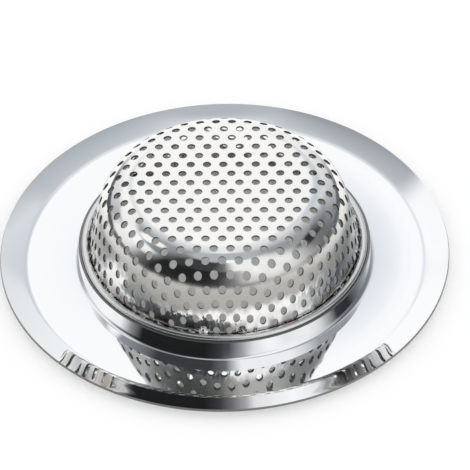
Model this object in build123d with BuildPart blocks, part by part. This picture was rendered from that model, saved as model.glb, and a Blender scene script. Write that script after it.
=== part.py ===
from build123d import *
import math
import os

# A kitchen sink strainer lying upside down: the wide rim is on the table at Z = 0 and the
# perforated basket points up. Every piece is pressed sheet, turned about the Z axis.

# Driving dimensions, in millimetres
rim_diameter = 114.0
total_height = 24.4
rim_sheet = 0.6
basket_sheet = 0.5
ring_sheet = 0.5

# Rim plate: a flat annulus that dishes up a little, a lip that curls up more steeply outside it,
# and a drawn collar inside
dish_radius = 46.7
dish_rise = 0.215
dish_bend = 110.0
lip_width = 6.4
lip_rise = 2.15
lip_bend = 5.2
curl_width = 2.86
curl_rise = 1.1
curl_bend = 66.0
collar_foot_radius = 37.3
collar_top_radius = 36.95
collar_height = 4.9
collar_bend = 0.9

# Seam ring: a channel bead that stands a little above the collar's cut edge
bead_width = 1.8
bead_stand = 0.9
bead_bend = 0.75
channel_depth = 3.2
press_clearance = 0.1

# Basket: a drawn cup with a large shoulder, a tapered wall and a hooked hem
floor_corner_radius = 29.6
shoulder_bend = 9.8
mouth_bend = 3.0
seam_clearance = 0.15

# Perforation of the flat blank, before it is drawn
hole_diameter = 2.1
hole_sides = 6
hole_pitch = 4.08
row_share = 0.838
pattern_shift_share = 0.2
punch_overrun = 0.4

# Drawing stretches the sheet lengthwise by a steady share, from a circle of the blank outwards
stretch_radius = 28.5
stretch_share = 0.12

# Sizes that follow
rim_radius = rim_diameter / 2
curl_radius = rim_radius - curl_width
curl_height = rim_sheet + dish_rise + lip_rise - curl_rise
curl_slope = math.atan2(curl_rise, curl_width)
lip_edge_radius = rim_radius - rim_sheet * math.sin(curl_slope)
lip_edge_height = curl_height + (lip_edge_radius - curl_radius) * curl_rise / curl_width
collar_top = rim_sheet + collar_height
collar_taper = (collar_foot_radius - collar_top_radius) / collar_height
collar_skin = rim_sheet * math.hypot(1, collar_taper)
bead_top = collar_top + bead_stand
hem_height = bead_top - channel_depth


def collar_bore(height):
    """Radius of the collar's inner face at a height above the table."""
    return collar_top_radius + (collar_top - height) * collar_taper - collar_skin


bead_outer_radius = collar_bore(bead_top) - press_clearance
bead_inner_radius = bead_outer_radius - bead_width
mouth_radius = bead_inner_radius - 2 * seam_clearance
hook_radius = bead_inner_radius + ring_sheet + seam_clearance
hook_top = bead_top - ring_sheet - seam_clearance
wall_angle = math.atan2(mouth_radius - floor_corner_radius, total_height - bead_top)


# Rim plate: one pressing from the lip's cut edge to the collar's cut edge
with BuildPart() as rim_plate:
    with BuildSketch(Plane.XZ):
        with BuildLine():
            FilletPolyline(
                (lip_edge_radius, lip_edge_height),
                (curl_radius, curl_height),
                (rim_radius - lip_width, rim_sheet + dish_rise),
                (dish_radius, rim_sheet),
                (collar_foot_radius, rim_sheet),
                (collar_top_radius, collar_top),
                radius=[curl_bend, lip_bend, dish_bend, collar_bend],
            )
            offset(amount=rim_sheet, side=Side.LEFT)
        make_face()
    revolve(axis=Axis.Z)


# Seam ring: an inverted channel, its outer leg against the collar, its inner leg on the hem
with BuildPart() as seam_ring:
    with BuildSketch(Plane.XZ):
        with BuildLine():
            FilletPolyline(
                (bead_inner_radius, hem_height),
                (bead_inner_radius, bead_top),
                (bead_outer_radius, bead_top),
                (collar_bore(hem_height) - press_clearance, hem_height),
                radius=bead_bend,
            )
            offset(amount=ring_sheet, side=Side.RIGHT)
        make_face()
    revolve(axis=Axis.Z)


# Where the flat blank goes when it is drawn over the punch
shoulder_turn = math.pi / 2 - wall_angle
shoulder_reach = shoulder_bend * math.tan(shoulder_turn / 2)
flat_radius = floor_corner_radius - shoulder_reach


def drawn_point(blank_radius):
    """Radius, height, slope and stretch of the drawn skin for a radius on the flat blank."""
    stretched = max(0, blank_radius - stretch_radius)
    stretch = 1 + stretch_share if stretched else 1
    past_flat = blank_radius + stretch_share * stretched - flat_radius
    if past_flat <= 0:
        return blank_radius, total_height, 0, stretch
    angle = min(past_flat / shoulder_bend, shoulder_turn)
    radius = flat_radius + shoulder_bend * math.sin(angle)
    height = total_height - shoulder_bend * (1 - math.cos(angle))
    run = past_flat - shoulder_bend * angle
    return radius + run * math.sin(wall_angle), height - run * math.cos(wall_angle), angle, stretch


# Basket: the cup and its tightly folded hem in one sheet, then the punched holes
with BuildPart() as basket:
    with BuildSketch(Plane.XZ):
        with BuildLine():
            FilletPolyline(
                (0, total_height),
                (floor_corner_radius, total_height),
                (mouth_radius, bead_top),
                (mouth_radius, hem_height),
                (hook_radius, hem_height),
                (hook_radius, hook_top),
                radius=[shoulder_bend, mouth_bend, 0, 0],
            )
            offset(amount=basket_sheet, kind=Kind.INTERSECTION, side=Side.RIGHT)
        make_face()
    revolve(axis=Axis.Z)

    # Rows of the blank run along X, and every second row is set half a pitch aside
    row_pitch = hole_pitch * row_share
    reach = math.ceil(rim_radius / row_pitch)
    for row in range(-reach, reach + 1):
        for column in range(-reach, reach + 1):
            blank_x = (column + row % 2 / 2) * hole_pitch
            blank_y = row * row_pitch + pattern_shift_share * hole_pitch
            blank_radius = math.hypot(blank_x, blank_y)
            radius, height, slope, stretch = drawn_point(blank_radius)
            if height < bead_top:
                continue
            # Drawing narrows a hole round the cup and lengthens it down the wall
            narrowing = radius / blank_radius
            bearing = math.atan2(blank_y, blank_x)
            across, along = math.cos(bearing), math.sin(bearing)
            skin = Plane(
                origin=(radius * across, radius * along, height),
                x_dir=(-along, across, 0),
                z_dir=(math.sin(slope) * across, math.sin(slope) * along, math.cos(slope)),
            )
            with BuildSketch(skin.offset(punch_overrun)):
                RegularPolygon(radius=hole_diameter / 2, side_count=hole_sides)
                scale(by=(narrowing, stretch, 1))
    extrude(amount=-(basket_sheet + 2 * punch_overrun), clean=False, mode=Mode.SUBTRACT)


rim_plate.part.label = "rim_plate"
seam_ring.part.label = "seam_ring"
basket.part.label = "basket"

os.makedirs("parts", exist_ok=True)
for piece in (rim_plate, seam_ring, basket):
    export_step(piece.part, f"parts/{piece.part.label}.step")
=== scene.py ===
import math

import bmesh
import bpy
from bpy.props import FloatProperty, FloatVectorProperty, PointerProperty
from mathutils import Matrix, Vector, noise


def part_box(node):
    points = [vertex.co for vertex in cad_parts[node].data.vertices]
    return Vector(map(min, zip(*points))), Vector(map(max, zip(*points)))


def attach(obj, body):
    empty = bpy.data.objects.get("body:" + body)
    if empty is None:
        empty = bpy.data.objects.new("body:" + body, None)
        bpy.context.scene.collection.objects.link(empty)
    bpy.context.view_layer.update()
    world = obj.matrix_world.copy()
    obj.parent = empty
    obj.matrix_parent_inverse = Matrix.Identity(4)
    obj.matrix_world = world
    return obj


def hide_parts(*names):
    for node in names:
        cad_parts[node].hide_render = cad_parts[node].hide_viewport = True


bl_info = {
    "name": "Sink strainer",
    "version": (1, 0, 0),
    "blender": (4, 5, 0),
    "location": "3D View > Sidebar > Strainer",
    "description": "A pressed steel sink strainer, upside down on a pale table",
    "category": "Object",
}

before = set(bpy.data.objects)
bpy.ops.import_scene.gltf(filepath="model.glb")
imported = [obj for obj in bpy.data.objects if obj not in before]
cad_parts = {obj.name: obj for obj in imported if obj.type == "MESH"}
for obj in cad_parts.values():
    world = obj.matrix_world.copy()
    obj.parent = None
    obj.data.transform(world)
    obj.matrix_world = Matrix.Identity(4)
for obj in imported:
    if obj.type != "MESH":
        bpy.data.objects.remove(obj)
MM = 0.001
# The far upper corner of each CAD piece's box
RIM_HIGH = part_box("rim_plate")[1]
RING_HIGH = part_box("seam_ring")[1]
CUP_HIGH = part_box("basket")[1]


def linear(hex_colour):
    """An sRGB hex colour as linear red, green, blue and a full alpha."""
    channels = [int(hex_colour[start:start + 2], 16) / 255 for start in (1, 3, 5)]
    lit = [c / 12.92 if c <= 0.04045 else ((c + 0.055) / 1.055) ** 2.4 for c in channels]
    return (*lit, 1)


WHITE = linear("#FFFFFF")


class RimPlateSizes(bpy.types.PropertyGroup):
    """The rim plate: a flat annulus with a turned lip outside and a drawn collar inside"""

    radius: FloatProperty(
        name="Rim radius", description="Centre to the lip's cut edge",
        default=RIM_HIGH.x, unit="LENGTH")
    collar_top: FloatProperty(
        name="Collar top", description="Height of the collar's cut edge",
        default=RIM_HIGH.z, unit="LENGTH")
    sheet: FloatProperty(
        name="Sheet", description="Thickness of the rim's steel",
        default=0.6 * MM, unit="LENGTH")
    dish: FloatProperty(
        name="Dish", description="Radius where the flat starts to rise",
        default=46.7 * MM, unit="LENGTH")
    dish_rise: FloatProperty(
        name="Dish rise", description="How far the flat has risen at the lip",
        default=0.215 * MM, unit="LENGTH")
    dish_bend: FloatProperty(
        name="Dish bend", description="Radius of the dish's soft bend",
        default=110 * MM, unit="LENGTH")
    lip_width: FloatProperty(
        name="Lip width", description="Width of the turned lip",
        default=6.4 * MM, unit="LENGTH")
    lip_rise: FloatProperty(
        name="Lip rise", description="How far the lip's edge stands above its foot",
        default=2.15 * MM, unit="LENGTH")
    lip_bend: FloatProperty(
        name="Lip bend", description="Radius between flat and lip",
        default=5.2 * MM, unit="LENGTH")
    curl_width: FloatProperty(
        name="Curl width", description="Width of the lip's steeper outer part",
        default=2.86 * MM, unit="LENGTH")
    curl_rise: FloatProperty(
        name="Curl rise", description="How far the lip's outer part rises",
        default=1.1 * MM, unit="LENGTH")
    curl_bend: FloatProperty(
        name="Curl bend", description="Radius of the lip's own curl",
        default=66 * MM, unit="LENGTH")
    unevenness: FloatProperty(
        name="Unevenness", description="How much flatter the lip is pressed on its right side",
        default=math.radians(0.5), subtype="ANGLE")
    collar_foot: FloatProperty(
        name="Collar foot", description="Radius of the collar where it meets the flat",
        default=37.3 * MM, unit="LENGTH")
    collar_lean: FloatProperty(
        name="Collar lean", description="How much narrower the collar is at its top",
        default=0.35 * MM, unit="LENGTH")
    collar_bend: FloatProperty(
        name="Collar bend", description="Radius between flat and collar",
        default=0.9 * MM, unit="LENGTH")


class SeamRingSizes(bpy.types.PropertyGroup):
    """The seam ring: a folded channel whose bead shows above the collar"""

    top: FloatProperty(
        name="Bead top", description="Height of the bead",
        default=RING_HIGH.z, unit="LENGTH")
    foot_radius: FloatProperty(
        name="Foot radius", description="Radius of the channel's outer leg at its foot",
        default=RING_HIGH.x, unit="LENGTH")
    depth: FloatProperty(
        name="Depth", description="Height of the channel",
        default=3.2 * MM, unit="LENGTH")
    width: FloatProperty(
        name="Bead width", description="Width of the bead",
        default=1.8 * MM, unit="LENGTH")
    bend: FloatProperty(
        name="Bead bend", description="Radius of the bead's shoulders",
        default=0.75 * MM, unit="LENGTH")
    sheet: FloatProperty(
        name="Sheet", description="Thickness of the ring's steel",
        default=0.5 * MM, unit="LENGTH")


class BasketSizes(bpy.types.PropertyGroup):
    """The basket: a cup drawn from perforated sheet"""

    top: FloatProperty(
        name="Floor height", description="Height of the basket's floor above the table",
        default=CUP_HIGH.z, unit="LENGTH")
    floor_corner: FloatProperty(
        name="Floor corner", description="Radius where floor and wall would meet without the bend",
        default=29.6 * MM, unit="LENGTH")
    shoulder_bend: FloatProperty(
        name="Shoulder bend", description="Radius between floor and wall",
        default=9.8 * MM, unit="LENGTH")
    mouth: FloatProperty(
        name="Mouth", description="Radius of the wall at the seam ring",
        default=34.16 * MM, unit="LENGTH")
    hook: FloatProperty(
        name="Hook", description="Radius of the hem's folded edge, at its inner face",
        default=CUP_HIGH.x - 0.5 * MM, unit="LENGTH")
    clearance: FloatProperty(
        name="Seam clearance", description="Gap between the hem's hook and the seam ring over it",
        default=0.15 * MM, unit="LENGTH")
    sheet: FloatProperty(
        name="Sheet", description="Thickness of the basket's steel",
        default=0.5 * MM, unit="LENGTH")
    hole: FloatProperty(
        name="Hole", description="Diameter of a punched hole",
        default=2.1 * MM, unit="LENGTH")
    pitch: FloatProperty(
        name="Pitch", description="Distance between holes in a row",
        default=4.08 * MM, unit="LENGTH")
    row_share: FloatProperty(
        name="Row share", description="Distance between rows as a share of the pitch",
        default=0.838, subtype="FACTOR")
    shift_share: FloatProperty(
        name="Shift share", description="How far the pattern is off centre, as a share of the pitch",
        default=0.2, subtype="FACTOR")
    stretch_start: FloatProperty(
        name="Stretch start", description="Radius on the blank from which the sheet stretches",
        default=28.5 * MM, unit="LENGTH")
    stretch_share: FloatProperty(
        name="Stretch share", description="How much longer drawing makes the sheet",
        default=0.12, subtype="FACTOR")


class SteelColours(bpy.types.PropertyGroup):
    """The colours that the steels reflect"""

    rim: FloatVectorProperty(
        name="Rim", description="Mirror-polished steel",
        subtype="COLOR", size=4, min=0, max=1, default=linear("#FAFBFC"))
    ring: FloatVectorProperty(
        name="Seam ring", description="Rolled bright steel",
        subtype="COLOR", size=4, min=0, max=1, default=linear("#E6E7E6"))
    basket: FloatVectorProperty(
        name="Basket", description="Perforated bright steel",
        subtype="COLOR", size=4, min=0, max=1, default=linear("#F7F6F4"))
    # Painted dull reflection: this grey stands in for the grey table that the wall's front reflects;
    # drawing also roughens that steel
    rubbed_and_shaded: FloatVectorProperty(
        name="Rubbed wall", description="Basket steel that drawing has roughened",
        subtype="COLOR", size=4, min=0, max=1, default=linear("#B9B8B3"))
    oiled: FloatVectorProperty(
        name="Oiled wall", description="Basket steel under a film of drawing oil",
        subtype="COLOR", size=4, min=0, max=1, default=linear("#ACA6A0"))
    # Partly painted shade: the edges' darker grey stands in for the shade on the cut edges, and their
    # dullness is real
    sheared: FloatVectorProperty(
        name="Sheared edge", description="Cut and punched edges",
        subtype="COLOR", size=4, min=0, max=1, default=linear("#8E8C8A"))


class StageSizes(bpy.types.PropertyGroup):
    """The table and the camera"""

    table: FloatProperty(
        name="Table", description="Width of the pale table",
        default=6.0, unit="LENGTH")
    table_colour: FloatVectorProperty(
        name="Table colour", description="The table's matt white paint",
        subtype="COLOR", size=4, min=0, max=1, default=linear("#F4F4F4"))
    aim: FloatVectorProperty(
        name="Aim", description="The point that the camera looks at",
        subtype="TRANSLATION", size=3, default=(3.10 * MM, -18.52 * MM, CUP_HIGH.z))
    bearing: FloatProperty(
        name="Camera bearing", description="How far the camera stands round from the front",
        default=math.radians(1.20), subtype="ANGLE")
    elevation: FloatProperty(
        name="Camera elevation", description="How far the camera looks down",
        default=math.radians(42.70), subtype="ANGLE")
    roll: FloatProperty(
        name="Camera roll", description="How far the camera is turned about its view",
        default=math.radians(-1.23), subtype="ANGLE")
    distance: FloatProperty(
        name="Camera distance", description="Camera to the point it looks at",
        default=0.694, unit="LENGTH")
    lens: FloatProperty(
        name="Lens", description="Focal length in millimetres",
        default=217.8, unit="CAMERA")


def facing(bearing, elevation=0):
    """The direction at a bearing round from the front to the right, and at an elevation."""
    return Vector((
        math.sin(bearing) * math.cos(elevation),
        -math.cos(bearing) * math.cos(elevation),
        math.sin(elevation)))


# The sockets of a Mix node that mixes colours
MIX_SHARE, MIX_FIRST, MIX_SECOND, MIX_COLOUR = 0, 6, 7, 2
# Most of a noise's values lie in this middle part of its range
NOISE_MIDDLE = {"From Min": 0.3, "From Max": 0.7}


def node(tree, kind, inputs=None, **settings):
    """Adds a node, sets it, and fills its inputs with values or with other nodes' outputs."""
    made = tree.nodes.new(kind)
    for name, value in settings.items():
        setattr(made, name, value)
    for name, value in (inputs or {}).items():
        if isinstance(value, bpy.types.NodeSocket):
            tree.links.new(value, made.inputs[name])
        else:
            made.inputs[name].default_value = value
    return made


def fresh_material(name):
    """A material with an empty node tree."""
    material = bpy.data.materials.new(name)
    material.use_nodes = True
    material.node_tree.nodes.clear()
    return material


def noise_marks(tree, size, lengthening=1, detail=2.0):
    """A noise whose marks are size metres wide, and longer than that up the Z axis."""
    place = node(tree, "ShaderNodeTexCoord")
    drawn = node(tree, "ShaderNodeMapping", {
        "Vector": place.outputs["Object"], "Scale": (1, 1, 1 / lengthening)})
    marks = node(tree, "ShaderNodeTexNoise", {
        "Vector": drawn.outputs["Vector"], "Scale": 1 / size, "Detail": detail, "Roughness": 0.4})
    return marks.outputs["Fac"]


def turned_lines(tree, pitch):
    """A value that changes only across the Z axis's circles, like lines left by a turning tool."""
    place = node(tree, "ShaderNodeTexCoord")
    split = node(tree, "ShaderNodeSeparateXYZ", {"Vector": place.outputs["Object"]})
    flat = node(tree, "ShaderNodeCombineXYZ", {"X": split.outputs["X"], "Y": split.outputs["Y"]})
    radius = node(tree, "ShaderNodeVectorMath", {0: flat.outputs["Vector"]}, operation="LENGTH")
    section = node(tree, "ShaderNodeCombineXYZ", {
        "X": radius.outputs["Value"], "Y": split.outputs["Z"]})
    lines = node(tree, "ShaderNodeTexNoise", {
        "Vector": section.outputs["Vector"], "Scale": 1 / pitch, "Detail": 1.0})
    return lines.outputs["Fac"]


def ragged_zone(tree, length, start, full, mark_size, mark_depth, lengthening=1):
    """A share from 0 where a length is start to 1 where it is full. A noise shifts its edge."""
    uneven = node(tree, "ShaderNodeMath", {
        0: noise_marks(tree, mark_size, lengthening), 1: mark_depth, 2: length},
        operation="MULTIPLY_ADD")
    share = node(tree, "ShaderNodeMapRange", {
        "Value": uneven.outputs[0], "From Min": start, "From Max": full},
        interpolation_type="SMOOTHSTEP")
    return share.outputs["Result"]


def bare_metal(material, colour, roughness, normal):
    """Finishes a material as uncoated metal."""
    tree = material.node_tree
    metal = node(tree, "ShaderNodeBsdfPrincipled", {
        "Base Color": colour, "Metallic": 1.0, "Roughness": roughness, "Normal": normal})
    node(tree, "ShaderNodeOutputMaterial", {"Surface": metal.outputs["BSDF"]})
    return material


def mirror_polished_stainless(colour):
    """Stainless steel, pressed and then buffed on a spindle: a clear mirror, a little uneven
    from the press, with a faint haze of buffing lines round it."""
    material = fresh_material("mirror_polished_stainless")
    tree = material.node_tree
    # The press leaves waves about 9 mm wide and a hundredth of a millimetre deep
    waves = node(tree, "ShaderNodeBump", {
        "Height": noise_marks(tree, 9 * MM, detail=1.0), "Distance": 0.012 * MM})
    # Real buffing lines are about 0.05 mm apart; drawn at 0.4 mm, which is as fine as shows
    haze = node(tree, "ShaderNodeMapRange", {
        "Value": turned_lines(tree, 0.4 * MM), **NOISE_MIDDLE, "To Min": 0.015, "To Max": 0.045})
    return bare_metal(material, colour, haze.outputs["Result"], waves.outputs["Normal"])


def rolled_bright_stainless(colour):
    """Stainless strip, rolled bright and folded over in a seaming roller: a satin sheen, with the
    roller's lines running round the bead."""
    material = fresh_material("rolled_bright_stainless")
    tree = material.node_tree
    # The seaming roller's lines are about 0.25 mm apart
    lines = turned_lines(tree, 0.25 * MM)
    score = node(tree, "ShaderNodeBump", {"Height": lines, "Distance": 0.008 * MM})
    sheen = node(tree, "ShaderNodeMapRange", {
        "Value": lines, **NOISE_MIDDLE, "To Min": 0.2, "To Max": 0.3})
    return bare_metal(material, colour, sheen.outputs["Result"], score.outputs["Normal"])


def sheared_stainless_edge(colour):
    """The cut or punched edge of stainless sheet: torn by the tool, so it is dull, and coloured a
    darker grey as painted shade on the cut edges.
    """
    material = fresh_material("sheared_stainless_edge")
    tree = material.node_tree
    # A sheared edge is half smooth and half torn, in marks about 0.3 mm wide
    torn = noise_marks(tree, 0.3 * MM)
    tears = node(tree, "ShaderNodeBump", {"Height": torn, "Distance": 0.03 * MM})
    dullness = node(tree, "ShaderNodeMapRange", {
        "Value": torn, **NOISE_MIDDLE, "To Min": 0.3, "To Max": 0.55})
    return bare_metal(material, colour, dullness.outputs["Result"], tears.outputs["Normal"])


# The direction of the wall's rough front side, which also takes the painted dull reflection, from the
# basket's middle
RUBBED_AND_SHADED_SIDE = facing(math.radians(10))
# A patch on the wall left smooth and bright, without the roughening or the painted dull reflection:
# its middle's distance from the axis, bearing and height
PATCH_RADIUS = 33 * MM
PATCH_BEARING = math.radians(-54)
PATCH_HEIGHT = 10 * MM
# The pleated zone reaches higher on the right, by this much for each metre across
PLEATS_RISE = 0.05


def pleated_share(tree, place):
    """Where the seam ring squeezes the sheet into upright pleats: a ragged zone above the ring."""
    split = node(tree, "ShaderNodeSeparateXYZ", {"Vector": place})
    leaning_height = node(tree, "ShaderNodeMath", {
        0: split.outputs["X"], 1: -PLEATS_RISE, 2: split.outputs["Z"]}, operation="MULTIPLY_ADD")
    return ragged_zone(
        tree, leaning_height.outputs[0],
        start=RING_HIGH.z + 8.7 * MM, full=RING_HIGH.z + 6.2 * MM,
        mark_size=2 * MM, mark_depth=4 * MM, lengthening=2)


def rubbed_and_shaded_share(tree, place, drawn, pleated):
    """Where drawing roughened the wall and its colour is darkened as a painted dull reflection:
    between the shoulder and the pleats, except at the back and in one patch that is left bright."""
    outwards = node(tree, "ShaderNodeVectorMath", {0: place, 1: RUBBED_AND_SHADED_SIDE}, operation="DOT_PRODUCT")
    on_rubbed_and_shaded_side = ragged_zone(
        tree, outwards.outputs["Value"], start=-4 * MM, full=6 * MM,
        mark_size=5 * MM, mark_depth=8 * MM, lengthening=2)
    patch = facing(PATCH_BEARING) * PATCH_RADIUS + Vector((0, 0, PATCH_HEIGHT))
    from_patch = node(tree, "ShaderNodeVectorMath", {0: place, 1: patch}, operation="DISTANCE")
    off_patch = ragged_zone(
        tree, from_patch.outputs["Value"], start=6.5 * MM, full=9.5 * MM,
        mark_size=2.5 * MM, mark_depth=6 * MM)
    clear_of_pleats = node(tree, "ShaderNodeMath", {0: 1.0, 1: pleated}, operation="SUBTRACT")
    rubbed_and_shaded = drawn
    for limit in (clear_of_pleats.outputs[0], on_rubbed_and_shaded_side, off_patch):
        rubbed_and_shaded = node(tree, "ShaderNodeMath", {0: rubbed_and_shaded, 1: limit}, operation="MULTIPLY").outputs[0]
    return rubbed_and_shaded


def perforated_bright_stainless(steel):
    """Perforated stainless sheet, punched flat and then drawn over a punch: bright on the floor,
    crisp and uneven on the shoulder, and rougher down the front of the wall, where drawing has
    roughened it and a painted dull reflection greys its colour."""
    material = fresh_material("perforated_bright_stainless")
    tree = material.node_tree
    place = node(tree, "ShaderNodeTexCoord").outputs["Object"]
    height = node(tree, "ShaderNodeSeparateXYZ", {"Vector": place}).outputs["Z"]
    # Drawing marks the sheet from 2 mm under the floor's face, and fully from 8 mm under it
    drawn = node(tree, "ShaderNodeMapRange", {
        "Value": height, "From Min": CUP_HIGH.z - 2 * MM, "From Max": CUP_HIGH.z - 8 * MM},
        interpolation_type="SMOOTHSTEP").outputs["Result"]
    # The web between the holes buckles in waves about as wide as the holes, longer down the wall
    buckled = noise_marks(tree, 3 * MM, 3)
    waves = node(tree, "ShaderNodeBump", {
        "Height": buckled, "Distance": 0.08 * MM, "Strength": drawn})
    # The pleats above the seam ring are about a millimetre wide
    pleated = pleated_share(tree, place)
    pleats = node(tree, "ShaderNodeBump", {
        "Height": noise_marks(tree, 1.1 * MM, 4), "Distance": 0.08 * MM, "Strength": pleated,
        "Normal": waves.outputs["Normal"]})
    rubbed_and_shaded = rubbed_and_shaded_share(tree, place, drawn, pleated)
    # Painted dull reflection: where the mask is full, the wall takes the darker colour in place of
    # the grey table in front that it reflects
    worn_and_shaded = node(tree, "ShaderNodeMix", {
        MIX_SHARE: rubbed_and_shaded, MIX_FIRST: steel.basket, MIX_SECOND: steel.rubbed_and_shaded}, data_type="RGBA")
    # Drawing oil stays in patches in the last millimetres above the seam ring
    low_down = node(tree, "ShaderNodeMapRange", {
        "Value": height, "From Min": RING_HIGH.z + 3.5 * MM, "From Max": RING_HIGH.z + 1 * MM},
        interpolation_type="SMOOTHSTEP")
    in_patches = node(tree, "ShaderNodeMapRange", {
        "Value": buckled, "From Min": 0.4, "From Max": 0.62}, interpolation_type="SMOOTHSTEP")
    oiled = node(tree, "ShaderNodeMath", {
        0: low_down.outputs["Result"], 1: in_patches.outputs["Result"]}, operation="MULTIPLY")
    colour = node(tree, "ShaderNodeMix", {
        MIX_SHARE: oiled.outputs[0], MIX_FIRST: worn_and_shaded.outputs[MIX_COLOUR], MIX_SECOND: steel.oiled},
        data_type="RGBA")
    # Steel grain is about 0.03 mm; drawn at 0.25 mm, which is as fine as shows
    grain = node(tree, "ShaderNodeMapRange", {
        "Value": noise_marks(tree, 0.25 * MM), **NOISE_MIDDLE, "To Min": 0.05, "To Max": 0.1})
    # Rubbing adds up to 0.2 to the roughness
    roughness = node(tree, "ShaderNodeMath", {
        0: rubbed_and_shaded, 1: 0.2, 2: grain.outputs["Result"]}, operation="MULTIPLY_ADD")
    return bare_metal(
        material, colour.outputs[MIX_COLOUR], roughness.outputs[0], pleats.outputs["Normal"])


def new_piece(name, shape, material):
    """Links a bmesh to the scene as a smooth object at the origin, with crisp cut edges."""
    for edge in shape.edges:
        edge.smooth = not edge.is_boundary
    mesh = bpy.data.meshes.new(name)
    shape.to_mesh(mesh)
    shape.free()
    mesh.polygons.foreach_set("use_smooth", [True] * len(mesh.polygons))
    piece = bpy.data.objects.new(name, mesh)
    bpy.context.scene.collection.objects.link(piece)
    piece.data.materials.append(material)
    return piece


def face_outwards(shape):
    """Turns an open skin's faces up and out."""
    bmesh.ops.recalc_face_normals(shape, faces=shape.faces)
    highest = max(shape.faces, key=lambda face: face.calc_center_median().z)
    if highest.normal.z < 0:
        bmesh.ops.reverse_faces(shape, faces=shape.faces)


def give_wall(piece, sheet, even=True):
    """Gives a skin its sheet's thickness inwards. Its cut edges are sheared steel."""
    steel = bpy.context.scene.strainer_steel
    piece.data.materials.append(sheared_stainless_edge(steel.sheared))
    wall = piece.modifiers.new("wall", "SOLIDIFY")
    wall.material_offset_rim = 1
    wall.thickness = sheet
    wall.offset = -1
    wall.use_even_offset = even


# A full turn is made in this many steps
SPIN_STEPS = 256
# A bend has a step for each so many degrees of its turn, and at least the fewest steps
BEND_STEP_DEGREES = 6
FEWEST_BEND_STEPS = 8
# Points nearer to each other than this are one point
SAME_POINT = 0.001 * MM


def spun_skin(outline, bends):
    """Spins an outline of (radius, height) corners, rounded by their bends, about the Z axis."""
    shape = bmesh.new()
    corners = [shape.verts.new((radius, 0, height)) for radius, height in outline]
    for start, end in zip(corners, corners[1:]):
        shape.edges.new((start, end))
    for corner, bend in zip(corners[1:-1], bends):
        before, after = (edge.other_vert(corner).co for edge in corner.link_edges)
        turn = math.pi - (before - corner.co).angle(after - corner.co)
        steps = max(FEWEST_BEND_STEPS, math.ceil(math.degrees(turn) / BEND_STEP_DEGREES))
        bmesh.ops.bevel(
            shape, geom=[corner], offset=bend * math.tan(turn / 2), offset_type="OFFSET",
            segments=steps, profile=0.5, affect="VERTICES", material=-1)
    bmesh.ops.spin(
        shape, geom=shape.verts[:] + shape.edges[:], cent=(0, 0, 0), axis=(0, 0, 1),
        dvec=(0, 0, 0), angle=2 * math.pi, steps=SPIN_STEPS, use_merge=True, use_duplicate=False)
    bmesh.ops.remove_doubles(shape, verts=shape.verts, dist=SAME_POINT)
    face_outwards(shape)
    return shape


class STRAINER_OT_rim_plate(bpy.types.Operator):
    """Spins the rim plate: collar, flat and turned lip in one pressing"""

    bl_idname = "strainer.rim_plate"
    bl_label = "Rim plate"

    def execute(self, context):
        rim = context.scene.strainer_rim
        lip_foot = rim.radius - rim.lip_width
        curl_radius = rim.radius - rim.curl_width
        curl_foot = rim.sheet + rim.dish_rise + rim.lip_rise - rim.curl_rise
        curl_slope = math.atan2(rim.curl_rise, rim.curl_width)
        # The lip's cut edge leans out, so its upper corner stops short of the rim's radius
        curl_reach = rim.curl_width - rim.sheet * math.sin(curl_slope)
        outline = (
            (rim.collar_foot - rim.collar_lean, rim.collar_top),
            (rim.collar_foot, rim.sheet),
            (rim.dish, rim.sheet),
            (lip_foot, rim.sheet + rim.dish_rise),
            (curl_radius, curl_foot),
            (curl_radius + curl_reach, curl_foot + curl_reach * math.tan(curl_slope)),
        )
        shape = spun_skin(outline, (rim.collar_bend, rim.dish_bend, rim.lip_bend, rim.curl_bend))
        for vert in shape.verts:
            past_foot = max(0, math.hypot(vert.co.x, vert.co.y) - lip_foot)
            vert.co.z -= past_foot * math.tan(rim.unevenness) * vert.co.x / rim.radius
        steel = mirror_polished_stainless(context.scene.strainer_steel.rim)
        piece = new_piece("polished_rim", shape, steel)
        give_wall(piece, rim.sheet)
        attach(piece, "root")
        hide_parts("rim_plate")
        return {"FINISHED"}


class STRAINER_OT_seam_ring(bpy.types.Operator):
    """Spins the seam ring: a folded channel with a rounded bead"""

    bl_idname = "strainer.seam_ring"
    bl_label = "Seam ring"

    def execute(self, context):
        ring = context.scene.strainer_ring
        rim = context.scene.strainer_rim
        foot = ring.top - ring.depth
        # The ring's outer leg leans as the collar does
        taper = rim.collar_lean / (rim.collar_top - rim.sheet)
        bead_outside = ring.foot_radius - ring.depth * taper
        outline = (
            (bead_outside - ring.width, foot),
            (bead_outside - ring.width, ring.top),
            (bead_outside, ring.top),
            (ring.foot_radius, foot),
        )
        shape = spun_skin(outline, (ring.bend, ring.bend))
        steel = rolled_bright_stainless(context.scene.strainer_steel.ring)
        piece = new_piece("bead_ring", shape, steel)
        give_wall(piece, ring.sheet)
        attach(piece, "root")
        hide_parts("seam_ring")
        return {"FINISHED"}


class DrawnCup:
    """Where the flat blank goes when it is drawn: past a circle it stretches by a steady share."""

    def __init__(self, basket, bead_top):
        self.basket = basket
        self.wall_angle = math.atan2(basket.mouth - basket.floor_corner, basket.top - bead_top)
        self.turn = math.pi / 2 - self.wall_angle
        self.flat = basket.floor_corner - basket.shoulder_bend * math.tan(self.turn / 2)

    def point(self, blank_radius):
        """Radius and height on the cup for a radius on the blank."""
        basket = self.basket
        stretched = max(0, blank_radius - basket.stretch_start)
        past_flat = blank_radius + basket.stretch_share * stretched - self.flat
        if past_flat <= 0:
            return blank_radius, basket.top
        angle = min(past_flat / basket.shoulder_bend, self.turn)
        radius = self.flat + basket.shoulder_bend * math.sin(angle)
        height = basket.top - basket.shoulder_bend * (1 - math.cos(angle))
        run = past_flat - basket.shoulder_bend * angle
        radius = min(radius + run * math.sin(self.wall_angle), basket.mouth)
        return radius, height - run * math.cos(self.wall_angle)


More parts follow.
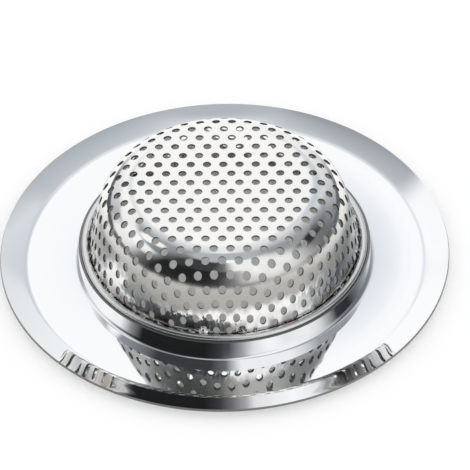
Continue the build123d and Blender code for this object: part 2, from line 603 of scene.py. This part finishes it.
# Each side of a cell is cut this often, so that its round hole has enough sides
CELL_CUTS = 2
# Points of neighbouring cells that lie within this of each other are one point
CELL_SEAM = 0.01 * MM


def sheet_cell(width, reach, hole, punched):
    """One cell of the blank: a six-sided border bridged to a round hole, or to a plain middle.
    The width is taken between two flat sides, and the reach from the middle to a point."""
    cell = bmesh.new()
    border = bmesh.ops.create_circle(cell, segments=6, radius=1)["verts"]
    bmesh.ops.scale(cell, vec=(width / 2 / math.cos(math.pi / 6), reach, 1), verts=border)
    bmesh.ops.subdivide_edges(cell, edges=cell.edges[:], cuts=CELL_CUTS)
    outer = cell.edges[:]
    bmesh.ops.create_circle(
        cell, segments=6 * (CELL_CUTS + 1), radius=hole / 2, cap_ends=not punched, cap_tris=True)
    # The spokes of a plain middle have a face on both sides, and its edge does not
    edge_of_hole = [edge for edge in cell.edges if edge not in outer and len(edge.link_faces) < 2]
    spokes = bmesh.ops.bridge_loops(cell, edges=outer + edge_of_hole)["edges"]
    bmesh.ops.subdivide_edges(cell, edges=spokes, cuts=1, use_grid_fill=True)
    mesh = bpy.data.meshes.new("sheet_cell")
    cell.to_mesh(mesh)
    cell.free()
    return mesh


def punched_blank(basket, ring, cup):
    """The flat blank in cells, row by row. Cells that the seam will hide have no hole."""
    row_pitch = basket.pitch * basket.row_share
    # A six-sided cell's point lies two thirds of a row from its middle
    cell_reach = row_pitch * 2 / 3
    punched = sheet_cell(basket.pitch, cell_reach, basket.hole, True)
    plain = sheet_cell(basket.pitch, cell_reach, basket.hole, False)
    # A cell whose middle lies lower than this would be trimmed away whole
    lowest = ring.top - ring.depth - basket.pitch
    shape = bmesh.new()
    rows = math.ceil(RIM_HIGH.x / row_pitch)
    for row in range(-rows, rows + 1):
        for column in range(-rows, rows + 1):
            x = (column + row % 2 / 2) * basket.pitch
            y = row * row_pitch + basket.shift_share * basket.pitch
            radius, height = cup.point(math.hypot(x, y))
            if height < lowest:
                continue
            known = set(shape.verts)
            shape.from_mesh(punched if height >= ring.top else plain)
            placed = [vert for vert in shape.verts if vert not in known]
            bmesh.ops.translate(shape, vec=(x, y, 0), verts=placed)
    bmesh.ops.remove_doubles(shape, verts=shape.verts, dist=CELL_SEAM)
    return shape


# The drawn wall's wrinkles: how wide, how long and how deep they are
WRINKLE_WIDTH = 3.4 * MM
WRINKLE_LENGTH = 9.0 * MM
WRINKLE_DEPTH = 0.06 * MM
# Where the cup is trimmed, points this near the cut are moved onto it, and shorter edges are closed
TRIM_SNAP = 0.06 * MM
SHORTEST_EDGE = 0.04 * MM


def draw_cup(shape, cup):
    """Draws a flat blank into the cup, with the faint wrinkles that drawing leaves in its wall."""
    for vert in shape.verts:
        blank = math.hypot(vert.co.x, vert.co.y)
        bearing = math.atan2(vert.co.y, vert.co.x)
        radius, height = cup.point(blank)
        around = (cup.basket.mouth * math.cos(bearing), cup.basket.mouth * math.sin(bearing))
        place = Vector((*around, height * WRINKLE_WIDTH / WRINKLE_LENGTH)) / WRINKLE_WIDTH
        if radius > cup.flat:
            radius += noise.noise(place) * WRINKLE_DEPTH * (1 - height / cup.basket.top)
        vert.co = (radius * math.cos(bearing), radius * math.sin(bearing), height)


def fold_hem(shape, basket, ring):
    """Trims the cup under the seam ring's bead and folds its edge into the hooked hem."""
    # Known fault: the hem has breaks, and faces near the trim are turned inwards, so that their
    # thickness cuts into the seam ring. It lies almost wholly inside the seam
    trim = ring.top - basket.hole / 2 - ring.sheet
    bmesh.ops.bisect_plane(
        shape, geom=shape.verts[:] + shape.edges[:] + shape.faces[:], dist=TRIM_SNAP,
        plane_co=(0, 0, trim), plane_no=(0, 0, -1), clear_outer=True)
    bmesh.ops.dissolve_degenerate(shape, edges=shape.edges, dist=SHORTEST_EDGE)
    loose = [vert for vert in shape.verts if not vert.link_faces]
    bmesh.ops.delete(shape, geom=loose, context="VERTS")
    edge = [item for item in shape.edges if item.is_boundary and all(
        abs(vert.co.z - trim) < SHORTEST_EDGE for vert in item.verts)]
    foot = ring.top - ring.depth
    hook_top = ring.top - ring.sheet - basket.clearance
    for radius, height in ((basket.mouth, foot), (basket.hook, foot), (basket.hook, hook_top)):
        made = bmesh.ops.extrude_edge_only(shape, edges=edge)["geom"]
        for vert in made:
            if isinstance(vert, bmesh.types.BMVert):
                spread = radius / math.hypot(vert.co.x, vert.co.y)
                vert.co = (vert.co.x * spread, vert.co.y * spread, height)
        edge = [item for item in made if isinstance(item, bmesh.types.BMEdge) and item.is_boundary]


class STRAINER_OT_basket(bpy.types.Operator):
    """Punches a flat blank and draws it into the basket"""

    bl_idname = "strainer.basket"
    bl_label = "Basket"

    def execute(self, context):
        basket = context.scene.strainer_basket
        ring = context.scene.strainer_ring
        cup = DrawnCup(basket, ring.top)
        shape = punched_blank(basket, ring, cup)
        draw_cup(shape, cup)
        fold_hem(shape, basket, ring)
        face_outwards(shape)
        steel = perforated_bright_stainless(context.scene.strainer_steel)
        piece = new_piece("perforated_basket", shape, steel)
        # Even offset throws spikes out of the hem, so this wall does without it
        give_wall(piece, basket.sheet, even=False)
        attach(piece, "root")
        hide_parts("basket")
        return {"FINISHED"}


class STRAINER_OT_stage(bpy.types.Operator):
    """Sets the pale table, the soft light and the camera"""

    bl_idname = "strainer.stage"
    bl_label = "Stage"

    def execute(self, context):
        stage = context.scene.strainer_stage
        lay_table(stage)
        light_tent(context.scene)
        place_camera(context.scene, stage)
        context.scene.view_settings.view_transform = "Standard"
        return {"FINISHED"}


def lay_table(stage):
    """A matt white table with a painted glow: a little under the strainer, where the lower glow is
    painted shade, and more beyond it.
    """
    shape = bmesh.new()
    bmesh.ops.create_grid(shape, x_segments=1, y_segments=1, size=stage.table / 2)
    material = fresh_material("matt_white_table")
    tree = material.node_tree
    place = node(tree, "ShaderNodeTexCoord")
    from_centre = node(tree, "ShaderNodeVectorMath", {0: place.outputs["Object"]}, operation="LENGTH")
    # Painted light: the table glows though it is no lamp, and glows less under the strainer as
    # painted shade there
    glow_level = node(tree, "ShaderNodeMapRange", {
        "Value": from_centre.outputs["Value"], "From Min": RING_HIGH.x, "From Max": RIM_HIGH.x,
        "To Min": 0.05, "To Max": 0.12}, interpolation_type="SMOOTHSTEP")
    paint = node(tree, "ShaderNodeBsdfDiffuse", {"Color": stage.table_colour})
    glow = node(tree, "ShaderNodeEmission", {
        "Color": WHITE, "Strength": glow_level.outputs["Result"]})
    both = node(tree, "ShaderNodeAddShader", {0: paint.outputs["BSDF"], 1: glow.outputs["Emission"]})
    node(tree, "ShaderNodeOutputMaterial", {"Surface": both.outputs["Shader"]})
    table = new_piece("table", shape, material)


# The light tent's wall at the table: its tones by the bearing from the front in degrees
TENT_FOOT = (
    (-180, "#FFFFFF"), (-160, "#F0F2F4"), (-148, "#70757A"), (-137, "#50555A"), (-100, "#606468"),
    (-80, "#7A7C7E"), (-64, "#1E1F20"), (-14, "#1E1F20"), (-4, "#3A3A3C"), (4, "#868284"),
    (25, "#A29E9E"), (40, "#D0CECC"), (60, "#D8D8D8"), (90, "#6C6E72"), (137, "#606468"),
    (148, "#8A8E92"), (162, "#F0F2F4"), (179, "#FFFFFF"),
)
# The rings above it, the last of them the roof: the elevations in degrees between which a ring
# begins, and its tones
TENT_RINGS = (
    (8, 12, (
        (-180, "#FFFFFF"), (-158, "#FFFFFF"), (-138, "#D4D8DC"), (-124, "#B0B3B6"),
        (-112, "#F4F5F6"), (-92, "#F0F1F2"), (-79, "#7A7C7E"), (-64, "#1E1F20"), (-14, "#1E1F20"),
        (-4, "#3A3B3D"), (4, "#6E6D70"), (13, "#A8A8AA"), (19, "#E8E8E6"), (45, "#FFFFFF"),
        (60, "#F0F1F2"), (76, "#C4C6C8"), (90, "#7A7C80"), (106, "#6C6F73"), (125, "#8C9094"),
        (150, "#D8DCE0"), (162, "#E8EAEC"), (171, "#F4F6F8"), (179, "#FCFDFE"),
    )),
    (29, 35, (
        (-180, "#FFFFFF"), (-173, "#FBFCFD"), (-165, "#E2E6EA"), (-155, "#FFFFFF"),
        (-128, "#F4F5F6"), (-100, "#FFFFFF"), (-84, "#F4F5F6"), (-74, "#8A8B8D"), (-64, "#1E1F20"),
        (-14, "#1E1F20"), (-6, "#303133"), (3, "#4C4A50"), (12, "#9C9DA2"), (22, "#E8E9EA"),
        (32, "#FFFFFF"), (45, "#EEEFF0"), (63, "#F4F5F6"), (74, "#E0E2E4"), (86, "#8A8C8E"),
        (92, "#34363A"), (106, "#2C2E31"), (120, "#6E7276"), (136, "#A0A4A9"), (150, "#DADEE2"),
        (165, "#C8CED6"), (173, "#D6DCE4"), (179, "#FCFDFE"),
    )),
    (46, 52, (
        (-180, "#F4F6F8"), (-160, "#D2D6DA"), (-135, "#9CA1A6"), (-95, "#8A8F94"),
        (-75, "#686B6E"), (-64, "#3A3C3E"), (-14, "#3A3C3E"), (0, "#6C6E70"), (14, "#F4F5F6"),
        (60, "#F4F5F6"), (76, "#D4D6D9"), (90, "#A0A3A6"), (106, "#989BA0"), (125, "#9EA2A6"),
        (137, "#B0B6BC"), (150, "#C4C8CC"), (179, "#F0F2F4"),
    )),
    (73, 78, (
        (-180, "#B4B9BF"),
    )),
)
# White softboxes in the tent: bearing from the front, elevation and spread in degrees
SOFTBOXES = ((-115, 57, 9), (22, 78, 6))
# The middle of a softbox, as a share of its spread, is fully lit
SOFTBOX_CORE_SHARE = 0.6


def tent_wall(tree, turn, tones):
    """One ring of the tent's wall: its tone for a bearing."""
    wall = node(tree, "ShaderNodeValToRGB", {"Fac": turn})
    stops = wall.color_ramp.elements
    stops.remove(stops[-1])
    stops[0].color = linear(tones[0][1])
    for degrees, tone in tones[1:]:
        stops.new(degrees / 360 + 0.5).color = linear(tone)
    return wall.outputs["Color"]


def tent_tone(tree, direction):
    """The tone of the tent's walls in a direction, from the table up to the roof."""
    split = node(tree, "ShaderNodeSeparateXYZ", {"Vector": direction})
    elevation = node(tree, "ShaderNodeMath", {0: split.outputs["Z"]}, operation="ARCSINE")
    front = node(tree, "ShaderNodeMath", {0: split.outputs["Y"], 1: -1.0}, operation="MULTIPLY")
    bearing = node(tree, "ShaderNodeMath", {
        0: split.outputs["X"], 1: front.outputs[0]}, operation="ARCTAN2")
    turn = node(tree, "ShaderNodeMapRange", {
        "Value": bearing.outputs[0], "From Min": -math.pi, "From Max": math.pi})
    tone = tent_wall(tree, turn.outputs["Result"], TENT_FOOT)
    for start, full, tones in TENT_RINGS:
        inside = node(tree, "ShaderNodeMapRange", {
            "Value": elevation.outputs[0], "From Min": math.radians(start),
            "From Max": math.radians(full)}, interpolation_type="SMOOTHSTEP")
        tone = node(tree, "ShaderNodeMix", {
            MIX_SHARE: inside.outputs["Result"], MIX_FIRST: tone,
            MIX_SECOND: tent_wall(tree, turn.outputs["Result"], tones)},
            data_type="RGBA").outputs[MIX_COLOUR]
    return tone


def light_tent(scene):
    """A light tent: plain white light, with walls and softboxes that show only in the metal."""
    world = bpy.data.worlds.new("light_tent")
    scene.world = world
    world.use_nodes = True
    tree = world.node_tree
    tree.nodes.clear()
    direction = node(tree, "ShaderNodeTexCoord").outputs["Generated"]
    tone = tent_tone(tree, direction)
    for bearing, elevation, spread in SOFTBOXES:
        towards_box = facing(math.radians(bearing), math.radians(elevation))
        nearness = node(tree, "ShaderNodeVectorMath", {
            0: direction, 1: towards_box}, operation="DOT_PRODUCT")
        lit = node(tree, "ShaderNodeMapRange", {
            "Value": nearness.outputs["Value"], "From Min": math.cos(math.radians(spread)),
            "From Max": math.cos(math.radians(spread * SOFTBOX_CORE_SHARE))},
            interpolation_type="SMOOTHSTEP")
        tone = node(tree, "ShaderNodeMix", {
            MIX_SHARE: lit.outputs["Result"], MIX_FIRST: tone, MIX_SECOND: WHITE},
            data_type="RGBA").outputs[MIX_COLOUR]
    path = node(tree, "ShaderNodeLightPath")
    seen = node(tree, "ShaderNodeMix", {
        MIX_SHARE: path.outputs["Is Glossy Ray"], MIX_FIRST: WHITE, MIX_SECOND: tone},
        data_type="RGBA")
    sky = node(tree, "ShaderNodeBackground", {"Color": seen.outputs[MIX_COLOUR]})
    node(tree, "ShaderNodeOutputWorld", {"Surface": sky.outputs["Background"]})


def place_camera(scene, stage):
    """The camera at the photograph's viewing angle."""
    back = facing(stage.bearing, stage.elevation)
    right = Vector((0, 0, 1)).cross(back).normalized()
    up = back.cross(right)
    turned_right = right * math.cos(stage.roll) + up * math.sin(stage.roll)
    turned_up = up * math.cos(stage.roll) - right * math.sin(stage.roll)
    camera = bpy.data.objects.new("camera", bpy.data.cameras.new("camera"))
    scene.collection.objects.link(camera)
    camera.data.lens = stage.lens
    turn = Matrix((turned_right, turned_up, back)).transposed().to_4x4()
    camera.matrix_world = Matrix.Translation(Vector(stage.aim) + back * stage.distance) @ turn
    scene.camera = camera


class STRAINER_PT_sidebar(bpy.types.Panel):
    """Lists the strainer's pieces"""

    bl_idname = "STRAINER_PT_sidebar"
    bl_label = "Sink strainer"
    bl_space_type = "VIEW_3D"
    bl_region_type = "UI"
    bl_category = "Strainer"

    def draw(self, context):
        for operator in PIECES:
            self.layout.operator(operator.bl_idname)


GROUPS = {
    "strainer_rim": RimPlateSizes,
    "strainer_ring": SeamRingSizes,
    "strainer_basket": BasketSizes,
    "strainer_steel": SteelColours,
    "strainer_stage": StageSizes,
}
PIECES = (STRAINER_OT_rim_plate, STRAINER_OT_seam_ring, STRAINER_OT_basket, STRAINER_OT_stage)


def register():
    for name, group in GROUPS.items():
        bpy.utils.register_class(group)
        setattr(bpy.types.Scene, name, PointerProperty(type=group))
    for operator in PIECES:
        bpy.utils.register_class(operator)
    bpy.utils.register_class(STRAINER_PT_sidebar)


def unregister():
    bpy.utils.unregister_class(STRAINER_PT_sidebar)
    for operator in reversed(PIECES):
        bpy.utils.unregister_class(operator)
    for name, group in reversed(GROUPS.items()):
        delattr(bpy.types.Scene, name)
        bpy.utils.unregister_class(group)


def main():
    """Makes the strainer and its stage."""
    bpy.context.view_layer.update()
    register()
    for operator in PIECES:
        group, name = operator.bl_idname.split(".")
        getattr(getattr(bpy.ops, group), name)()


if __name__ == "__main__":
    main()
